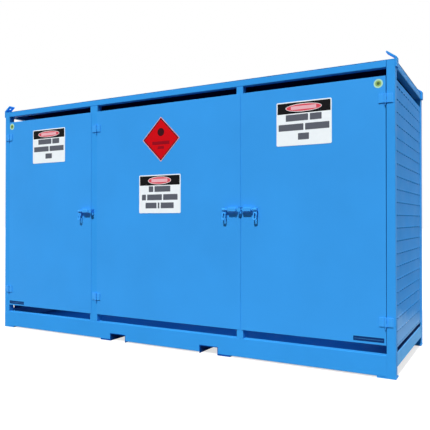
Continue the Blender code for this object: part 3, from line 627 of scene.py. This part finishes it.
# %% Smaller rounds
DOOR_FOLD, PLATE_ROUND, FITTING_ROUND, PLATE_EDGE = 0.0022, 0.0010, 0.0006, 0.0004
LUGS = [f"{end}_{side}_lug" for end in ("front", "rear") for side in ("left", "right")]
SMALL_ROUNDS = [(node, PLATE_ROUND) for node in ["roof_sheet"] + LUGS]
SMALL_ROUNDS += [("left_keeper", FITTING_ROUND), ("centre_keeper", FITTING_ROUND)]
for door in DOORS:
    SMALL_ROUNDS += [(f"{door}_door_sheet", DOOR_FOLD)]
    SMALL_ROUNDS += [(f"{door}_{part}_{level}_leaf", FITTING_ROUND)
                     for part in ("door", "post") for level in ("upper", "lower")]
    SMALL_ROUNDS += [(f"{door}_latch_guide", FITTING_ROUND), (f"{door}_bolt", FITTING_ROUND)]
    SMALL_ROUNDS += [(f"{door}_pull", PLATE_ROUND), (f"{door}_door_sign", PLATE_EDGE)]
SMALL_ROUNDS += [("middle_door_diamond", PLATE_EDGE)]
for node, radius in SMALL_ROUNDS:
    piece = merged_copy(node)
    if node.endswith("_leaf"):
        round_leaf_rim(piece, LEAF_ROUND)
    round_edges(piece, radius, segments=3 if radius == DOOR_FOLD else 2)
    smooth(piece)
    stand_in(piece, node)
print(len(SMALL_ROUNDS), "sheets and fittings have their edges rounded")

# %% [markdown]
# ## Brows over the vents
#
# The side walls breathe through rows of small punched slots. Seen along the wall, each slot is a
# short dark mark. The press also lifts a low brow over each slot, which sheds rain and catches a
# line of light. A bump could fake that, but not from the side. One brow is modelled from a block:
# its upper outer edge is drawn back to the wall to make the slope, its ends are drawn in, and the
# back and the underside are taken away. The shell then gets the sheet's thickness.

# %% One brow
WALL_FACE, WALL_MIDDLE_Y = 1.849, 0.022
SLOT_HEIGHT = 0.010
VENT_PITCH, VENT_COLUMNS, VENT_ROWS = 0.0861, 12, 21
FIRST_VENT = (-0.45155, 0.2142)
BROW_LENGTH, BROW_HEIGHT, BROW_DEPTH, BROW_SHEET = 0.050, 0.009, 0.0022, 0.0008
BROW_TAPER, BROW_ROUND, BROW_OVERLAP = 0.004, 0.0010, 0.003
BROW_SLOPE = 0.86
OFF_WALL = WALL_FACE + 0.0002


def brow_block(y, low, top):
    """A block on the right wall, open at its back and below."""
    bpy.ops.mesh.primitive_cube_add(
        size=1, location=(WALL_FACE + BROW_DEPTH / 2, y, (low + top) / 2),
        scale=(BROW_DEPTH, BROW_LENGTH, BROW_HEIGHT),
    )
    brow = settle(bpy.context.active_object, "right_wall_brows")
    open_mesh(brow)
    pick(brow, "FACE", lambda f: f.normal.x < -0.9 or f.normal.z < -0.9)
    bpy.ops.mesh.delete(type="FACE")
    return brow


def one_brow():
    """A single brow on the right wall, over the first slot."""
    y, slot_z = FIRST_VENT
    low = slot_z + SLOT_HEIGHT / 2 - BROW_OVERLAP
    top = low + BROW_HEIGHT
    brow = brow_block(y, low, top)
    pick(brow, "VERT", lambda v: v.co.x > WALL_FACE + BROW_DEPTH / 2 and v.co.z > top - 0.001)
    bpy.ops.transform.translate(value=(-BROW_DEPTH * BROW_SLOPE, 0, 0))
    for end in (-1, 1):
        pick(brow, "VERT", lambda v: v.co.x > OFF_WALL and (v.co.y - y) * end > 0)
        bpy.ops.transform.translate(value=(0, -BROW_TAPER * end, 0))
    pick(brow, "EDGE", lambda e: e.is_manifold and min(v.co.x for v in e.verts) > OFF_WALL
         and abs(direction_of(e).y) < 0.5)
    bpy.ops.mesh.bevel(offset_type="OFFSET", offset=BROW_ROUND, segments=2, profile=0.5)
    close_mesh()
    apply_modifier(brow, "SOLIDIFY", thickness=BROW_SHEET, offset=-1)
    return brow


brows = one_brow()
print("one brow has", len(brows.data.polygons), "faces")

# %% [markdown]
# ## Rows of brows
#
# Two arrays repeat the brow over the slots that the CAD wall has. The cage is the same seen from
# its left, so the whole set is copied and turned half round, about the middle of the walls. A
# mirror would do as well, but turns the shells inside out. A brow keeps to a few dozen faces,
# because there are five hundred.

# %% Both walls
for count, step in ((VENT_COLUMNS, (0, VENT_PITCH, 0)), (VENT_ROWS, (0, 0, VENT_PITCH))):
    apply_modifier(brows, "ARRAY", count=count, use_relative_offset=False,
                   use_constant_offset=True, constant_offset_displace=step)
smooth(brows)
only(brows)
bpy.ops.object.duplicate()
other_brows = bpy.context.active_object
bpy.ops.transform.rotate(value=pi, orient_axis="Z", center_override=(0, WALL_MIDDLE_Y, 0))
settle(other_brows, "left_wall_brows")
for piece in (brows, other_brows):
    belong(piece, "frame", FINISH["wall_paint"])
    print(piece.name, "has", len(piece.data.polygons), "faces")

# %% [markdown]
# ## Bars behind the slots
#
# A slot runs along the foot of each side wall. From the camera's place one looks in below the left
# door and out through that slot, and would see a white wedge of daylight. The picture shows only a
# pale streak there, so something stands behind the slot. A flat bar on edge, tacked to the rail, is
# the plain way to keep a cylinder's foot inside. It stops short of the front post, which leaves the
# streak. Each bar is a block with its edges rounded.

# %% A flat bar on each side rail
BAR_OUT, BAR_SHEET, BAR_LEVELS, BAR_ENDS = 1.8140, 0.0030, (0.1697, 0.2020), (-0.480, 0.540)
for side, sign in (("left", -1), ("right", 1)):
    bpy.ops.mesh.primitive_cube_add(
        size=1, location=(sign * BAR_OUT, sum(BAR_ENDS) / 2, sum(BAR_LEVELS) / 2),
        scale=(BAR_SHEET, BAR_ENDS[1] - BAR_ENDS[0], BAR_LEVELS[1] - BAR_LEVELS[0]),
    )
    piece = settle(bpy.context.active_object, f"{side}_kick_bar")
    round_edges(piece, FITTING_ROUND)
    smooth(piece)
    # The bars wear the darker inside blue, which is painted shade.
    belong(piece, "frame", FINISH["inner_paint"])
    print(piece.name, "has", len(piece.data.polygons), "faces")

# %% [markdown]
# ## The solids that keep their shape
#
# The slotted walls, the floor, the frames behind the doors and the rest already have the right
# form, and they keep their CAD mesh. A copy with rounds would add faces that nobody sees. Only
# their finish changes.

# %% Paint on the remaining solids
kept = [node for node in frame["nodes"].values() if not node.hide_render]
for node in kept:
    for slot in node.material_slots:
        slot.material = finish_of(node.name)
print(len(kept), "solids keep their CAD mesh")

# %% [markdown]
# ## Films of print
#
# The plates on the doors are printed in layers. They could be painted in the material, but a
# pattern in a material is only as sharp as its nodes, and the layers have a real edge. So each
# layer is modelled as what it is, a film a fraction of a millimetre thick. It starts as a flat
# plane or disc, gets round corners, and is then given its thickness. Each layer lies a fifth of a
# millimetre in front of the one below.

# %% Thickness for a film
FILM_STEP, FILM_THICKNESS = 0.0002, 0.0003
FILM_CORNER = 0.003
DISC_POINTS, DISC_INSET = 64, 0.05
UPRIGHT = (pi / 2, 0, 0)


def thicken(piece, material, body):
    """Gives a flat film its thickness, its body and its print."""
    apply_modifier(piece, "SOLIDIFY", thickness=FILM_THICKNESS, offset=-1)
    point_outwards(piece)
    return belong(piece, body, material)


# %% Oblong and round films
def film(name, centre, size, material, body, layer=1, corner=FILM_CORNER):
    """A thin upright film with round corners, on the face of a plate or a door."""
    x, y, z = centre
    bpy.ops.mesh.primitive_plane_add(size=1, location=(x, y - FILM_STEP * layer, z), rotation=UPRIGHT)
    bpy.context.active_object.scale = (size[0], size[1], 1)
    piece = settle(bpy.context.active_object, name)
    open_mesh(piece, "VERT")
    bpy.ops.mesh.select_all(action="SELECT")
    bpy.ops.mesh.bevel(offset=corner, segments=3, affect="VERTICES")
    close_mesh()
    return thicken(piece, material, body)


def disc(name, centre, size, material, body, layer=1):
    """A thin round or oval film."""
    x, y, z = centre
    bpy.ops.mesh.primitive_circle_add(
        vertices=DISC_POINTS, radius=0.5, fill_type="NGON",
        location=(x, y - FILM_STEP * layer, z), rotation=UPRIGHT)
    bpy.context.active_object.scale = (size[0], size[1], 1)
    piece = settle(bpy.context.active_object, name)
    open_mesh(piece)
    bpy.ops.mesh.select_all(action="SELECT")
    bpy.ops.mesh.inset(thickness=min(size) * DISC_INSET, depth=0)
    close_mesh()
    return thicken(piece, material, body)


# %% [markdown]
# ## The oblong plates
#
# Each door has a white plate with a black band at its top. A ringed oval sits on the band, and
# rows of dark bars fill the white below. The places and lengths of the bars come from the picture,
# row by row. The plates are generic on purpose, so that the cage can stand in any scene.

# %% Sizes on the plates
PLATE_FACE = -0.5631
PLATE_WIDTH, PLATE_HEIGHT, PLATE_MARGIN = 0.410, 0.315, 0.008
HEADER_HEIGHT = 0.078
OVAL_RING, OVAL_BAR = 0.007, (0.72, 0.5)
BAR_HEIGHT, BAR_GAP = 0.047, 0.0125
SMALL_OVAL, LARGE_OVAL = (0.262, 0.050), (0.220, 0.056)
OUTER_BARS = (((0.41, 0.21), 0.37), ((0.46, 0.43), 0.585), ((0.20,), 0.80))
MIDDLE_BARS = (((0.11, 0.38), 0.37), ((0.10, 0.36, 0.34), 0.585), ((0.27, 0.04, 0.31), 0.80))
PLATES = {
    "left": ((-1.2635, 1.7325), SMALL_OVAL, OUTER_BARS),
    "middle": ((-0.0115, 1.2555), LARGE_OVAL, MIDDLE_BARS),
    "right": ((1.2265, 1.7315), SMALL_OVAL, OUTER_BARS),
}


def bar_row(door, row, x, z, shares):
    """One row of bars, centred at x. Each share is a bar's length as a part of the plate's width."""
    widths = [PLATE_WIDTH * share for share in shares]
    start = x - (sum(widths) + BAR_GAP * (len(widths) - 1)) / 2
    for number, width in enumerate(widths, start=1):
        film(f"{door}_plate_bar_{row}_{number}", (start + width / 2, PLATE_FACE, z),
             (width, BAR_HEIGHT), PRINT["grey"], f"{door}_door")
        start += width + BAR_GAP
    return len(widths)


# %% Band, oval and bars
for door, ((x, z), oval, bars) in PLATES.items():
    body = f"{door}_door"
    top = z + PLATE_HEIGHT / 2
    header = (x, PLATE_FACE, top - PLATE_MARGIN - HEADER_HEIGHT / 2)
    band_size = (PLATE_WIDTH - 2 * PLATE_MARGIN, HEADER_HEIGHT)
    ring_size = (oval[0] + OVAL_RING, oval[1] + OVAL_RING)
    oval_bar_size = (oval[0] * OVAL_BAR[0], oval[1] * OVAL_BAR[1])
    film(f"{door}_plate_band", header, band_size, PRINT["black"], body)
    disc(f"{door}_plate_ring", header, ring_size, PRINT["white"], body, layer=2)
    disc(f"{door}_plate_oval", header, oval, PRINT["rose"], body, layer=3)
    film(f"{door}_plate_oval_bar", header, oval_bar_size, PRINT["blush"], body, layer=4)
    count = sum(bar_row(door, row, x, top - PLATE_HEIGHT * level, shares)
                for row, (shares, level) in enumerate(bars, start=1))
    print("the", door, "plate has a band, a ringed oval and", count, "bars")

# %% [markdown]
# ## The diamond
#
# The red diamond has a pale rim and a thin dark line set in from it. Each is a square frame of
# print, made from a plane that is turned by an eighth of a turn, inset, and opened in the middle.
# Four thin strips would do too, but their corners would need mitres. A plain dark disc and two
# bars finish it.

# %% Rim, line, disc and bars on the diamond
DIAMOND_PLACE = (0.0020, 1.7030)
SQUARES = (("line", 0.249, 0.0085, "dark_red"), ("rim", 0.2592, 0.0050, "blush"))
DISC_RISE, DISC_SIZE = 0.058, (0.066, 0.066)
DIAMOND_BARS = ((0.170, 0.026, 0.030), (0.062, 0.022, 0.068))


def square_line(name, centre, side, width, material, body):
    """A square line of print, standing on its corner."""
    x, y, z = centre
    bpy.ops.mesh.primitive_plane_add(
        size=side, location=(x, y - FILM_STEP, z), rotation=(pi / 2, pi / 4, 0))
    piece = settle(bpy.context.active_object, name)
    open_mesh(piece)
    bpy.ops.mesh.select_all(action="SELECT")
    bpy.ops.mesh.inset(thickness=width, depth=0)
    bpy.ops.mesh.delete(type="FACE")
    close_mesh()
    return thicken(piece, material, body)


x, z = DIAMOND_PLACE
for part, side, width, colour in SQUARES:
    square_line(f"diamond_{part}", (x, PLATE_FACE, z), side, width, PRINT[colour],
                "middle_door")
disc("diamond_disc", (x, PLATE_FACE, z + DISC_RISE), DISC_SIZE, PRINT["dark_red"], "middle_door")
for number, (width, height, drop) in enumerate(DIAMOND_BARS, start=1):
    film(f"diamond_bar_{number}", (x, PLATE_FACE, z - drop), (width, height), PRINT["wine"],
         "middle_door")
print("the diamond has a rim, a line, a disc and", len(DIAMOND_BARS), "bars")

# %% [markdown]
# ## Small labels
#
# A round sticker sits in the top hinge corner of both outer doors, pale green with an olive band
# and a dark middle. Low down in the same corners there is a dark strip with a lighter line along
# it. They are films again, laid straight on the door's paint.

# %% Round stickers and dark strips
DOOR_FACE = -0.5613
ROUND_LABELS = {"left": (-1.757, 1.951), "right": (1.747, 1.947)}
LABEL_LAYERS = (("", 0.060, "lime"), ("_band", 0.040, "olive"), ("_middle", 0.021, "green"))
STRIPS = {"left": ((-1.786, -1.588), (0.229, 0.258)), "right": ((1.577, 1.782), (0.232, 0.263))}
STRIP_BORDER = 0.004
for door, (x, z) in ROUND_LABELS.items():
    body = f"{door}_door"
    for layer, (part, across, colour) in enumerate(LABEL_LAYERS, start=1):
        disc(f"{door}_round_label{part}", (x, DOOR_FACE, z), (across, across), PRINT[colour], body,
             layer=layer)
    (low_x, high_x), (low_z, high_z) = STRIPS[door]
    middle = ((low_x + high_x) / 2, DOOR_FACE, (low_z + high_z) / 2)
    width, height = high_x - low_x, high_z - low_z
    film(f"{door}_strip", middle, (width, height), PRINT["navy"], body)
    film(f"{door}_strip_middle", middle, (width - 4 * STRIP_BORDER, STRIP_BORDER), PRINT["steel"], body,
         layer=2, corner=STRIP_BORDER / 4)
    print("the", door, "door has a round label and a strip")

# %% [markdown]
# ## Floor
#
# The cage stands on a plain white floor. If the floor were white only because much light falls on
# it, the same light would bleach the paint. So it glows by itself, but only for a ray that comes
# from the camera, straight or by way of a mirroring or clear surface. For a ray that carries light
# to the cage it is a dim grey. The part of its white that comes from the lamps keeps the cage's
# shadow.

# %% White for the eye, dim for the light
FLOOR_AS_LIGHT = (0.18, 0.18, 0.18, 1)
FLOOR_TONES = ((0.36, 0.36, 0.36, 1), (0.38, 0.38, 0.38, 1))
FLOOR_GLOW = 0.70
WHITE = (1, 1, 1, 1)


def when_seen(tree, place):
    """1 for rays that come from the camera, straight or by way of metal or glass, and 0 for light."""
    ray = add_node(tree, "ShaderNodeLightPath", place)
    seen = ray.outputs["Is Camera Ray"]
    for step, more in enumerate(("Is Glossy Ray", "Is Transmission Ray"), start=1):
        seen = arithmetic(tree, (place[0] + 200 * step, place[1]), "MAXIMUM", seen, ray.outputs[more])
    return seen


def pale_floor():
    """A matt floor with faint clouds that glows where it is seen."""
    material, tree, shader, place = new_material("pale_floor")
    factor = spread(tree, (-400, 200), noise(tree, (-600, 200), place, 3.0, 6.0), 0.0, 1.0)
    tone = blend_colours(tree, (-200, 200), factor, *FLOOR_TONES)
    glow = spread(tree, (200, -200), when_seen(tree, (-400, -300)), 0.0, FLOOR_GLOW, start=0.0, end=1.0)
    shader.inputs["Emission Color"].default_value = WHITE
    tree.links.new(glow, shader.inputs["Emission Strength"])
    ray = add_node(tree, "ShaderNodeLightPath", (-200, 500))
    dimmed = blend_colours(tree, (200, 300), ray.outputs["Is Diffuse Ray"], tone, FLOOR_AS_LIGHT)
    tree.links.new(dimmed, shader.inputs["Base Color"])
    shader.inputs["Roughness"].default_value = 0.9
    shader.inputs["Specular IOR Level"].default_value = 0.0
    return material


# %% Floor
FLOOR_SIZE, FLOOR_LEVEL = 120.0, -0.001
bpy.ops.mesh.primitive_plane_add(size=FLOOR_SIZE, location=(0, 0, FLOOR_LEVEL))
floor = settle(bpy.context.active_object, "floor")
wear(floor, pale_floor())
print("the floor is", FLOOR_SIZE, "metres square")

# %% [markdown]
# ## Surroundings
#
# Behind the cage there is only white. The world could be one plain white, but then it would light
# the sides as much as the front, and no form would be left. So the world is white where it is
# seen, and dim where it lights, a little brighter overhead than at the horizon.

# %% World
SKY_LOW, SKY_HIGH = 0.06, 0.14
world = bpy.data.worlds.new("pale_sky")
bpy.context.scene.world = world
world.use_nodes = True
sky = world.node_tree
background = next(n for n in sky.nodes if n.type == "BACKGROUND")
background.inputs["Color"].default_value = WHITE
facing = add_node(sky, "ShaderNodeTexCoord", (-900, 0)).outputs["Generated"]
upwards = coordinate(sky, (-700, 0), facing, "Z")
glow = spread(sky, (-500, 0), upwards, SKY_LOW, SKY_HIGH, start=0.0, end=1.0)
strength = add_node(sky, "ShaderNodeMix", (-200, 100), data_type="FLOAT")
connect(sky, when_seen(sky, (-900, 300)), strength.inputs["Factor"])
connect(sky, glow, strength.inputs["A"])
connect(sky, 1.0, strength.inputs["B"])
sky.links.new(strength.outputs["Result"], background.inputs["Strength"])
print("the world lights with", SKY_LOW, "at the horizon and", SKY_HIGH, "overhead")

# %% [markdown]
# ## Lamps
#
# In the picture the doors are bright and even, and the side wall is clearly darker. One lamp in
# front and fairly high does that, with a nearly hard edge to its shadows. Three weak and very soft
# ones, from both sides and from behind, keep the other sides readable. Only the key lamp shows in
# reflections. A sheet of white facing the front then renders as white, so the paint shows as it
# is written, and the Standard view leaves it so.

# %% Key lamp and fills
LAMPS = {
    "key": (Vector((0.09, -0.70, 0.875)), 4.05, 3),
    "right_fill": (Vector((1.0, 0.15, 0.45)), 1.0, 50),
    "left_fill": (Vector((-1.0, 0.15, 0.45)), 1.15, 50),
    "rear_fill": (Vector((0.0, 1.0, 0.5)), 1.5, 50),
}
for name, (towards, energy, softness) in LAMPS.items():
    lamp_data = bpy.data.lights.new(name, "SUN")
    lamp_data.energy = energy
    lamp_data.angle = radians(softness)
    lamp = bpy.data.objects.new(name, lamp_data)
    lamp.rotation_euler = towards.to_track_quat("Z", "Y").to_euler()
    lamp.visible_glossy = name == "key"
    bpy.context.collection.objects.link(lamp)
    print("the", name, "lamp stands", round(90 - degrees(towards.angle(ALONG_Z))), "degrees up")
bpy.context.scene.view_settings.view_transform = "Standard"

# %% [markdown]
# ## Light inside
#
# Through the slot below the doors the deck shows as a clear dark blue. On the real cage that light
# comes in through five hundred vents and many narrow gaps. A renderer finds so few paths through
# them that the deck would stay black or speckled. A weak lamp at half height, shining straight down
# in a narrow cone, does the same job. It can't be seen itself, in the picture or in a reflection.

# %% A weak lamp over the deck
INSIDE_POWER, INSIDE_SIZE, INSIDE_PLACE, INSIDE_SPREAD = 4.2, (3.3, 0.7), (0, -0.1, 1.0), 50
inside_data = bpy.data.lights.new("inside_fill", "AREA")
inside_data.shape = "RECTANGLE"
inside_data.size, inside_data.size_y = INSIDE_SIZE
inside_data.energy = INSIDE_POWER
inside_data.spread = radians(INSIDE_SPREAD)
inside = bpy.data.objects.new("inside_fill", inside_data)
inside.location = INSIDE_PLACE
inside.visible_camera = False
inside.visible_glossy = False
bpy.context.collection.objects.link(inside)
print("a lamp of", INSIDE_POWER, "watts shines down on the deck")
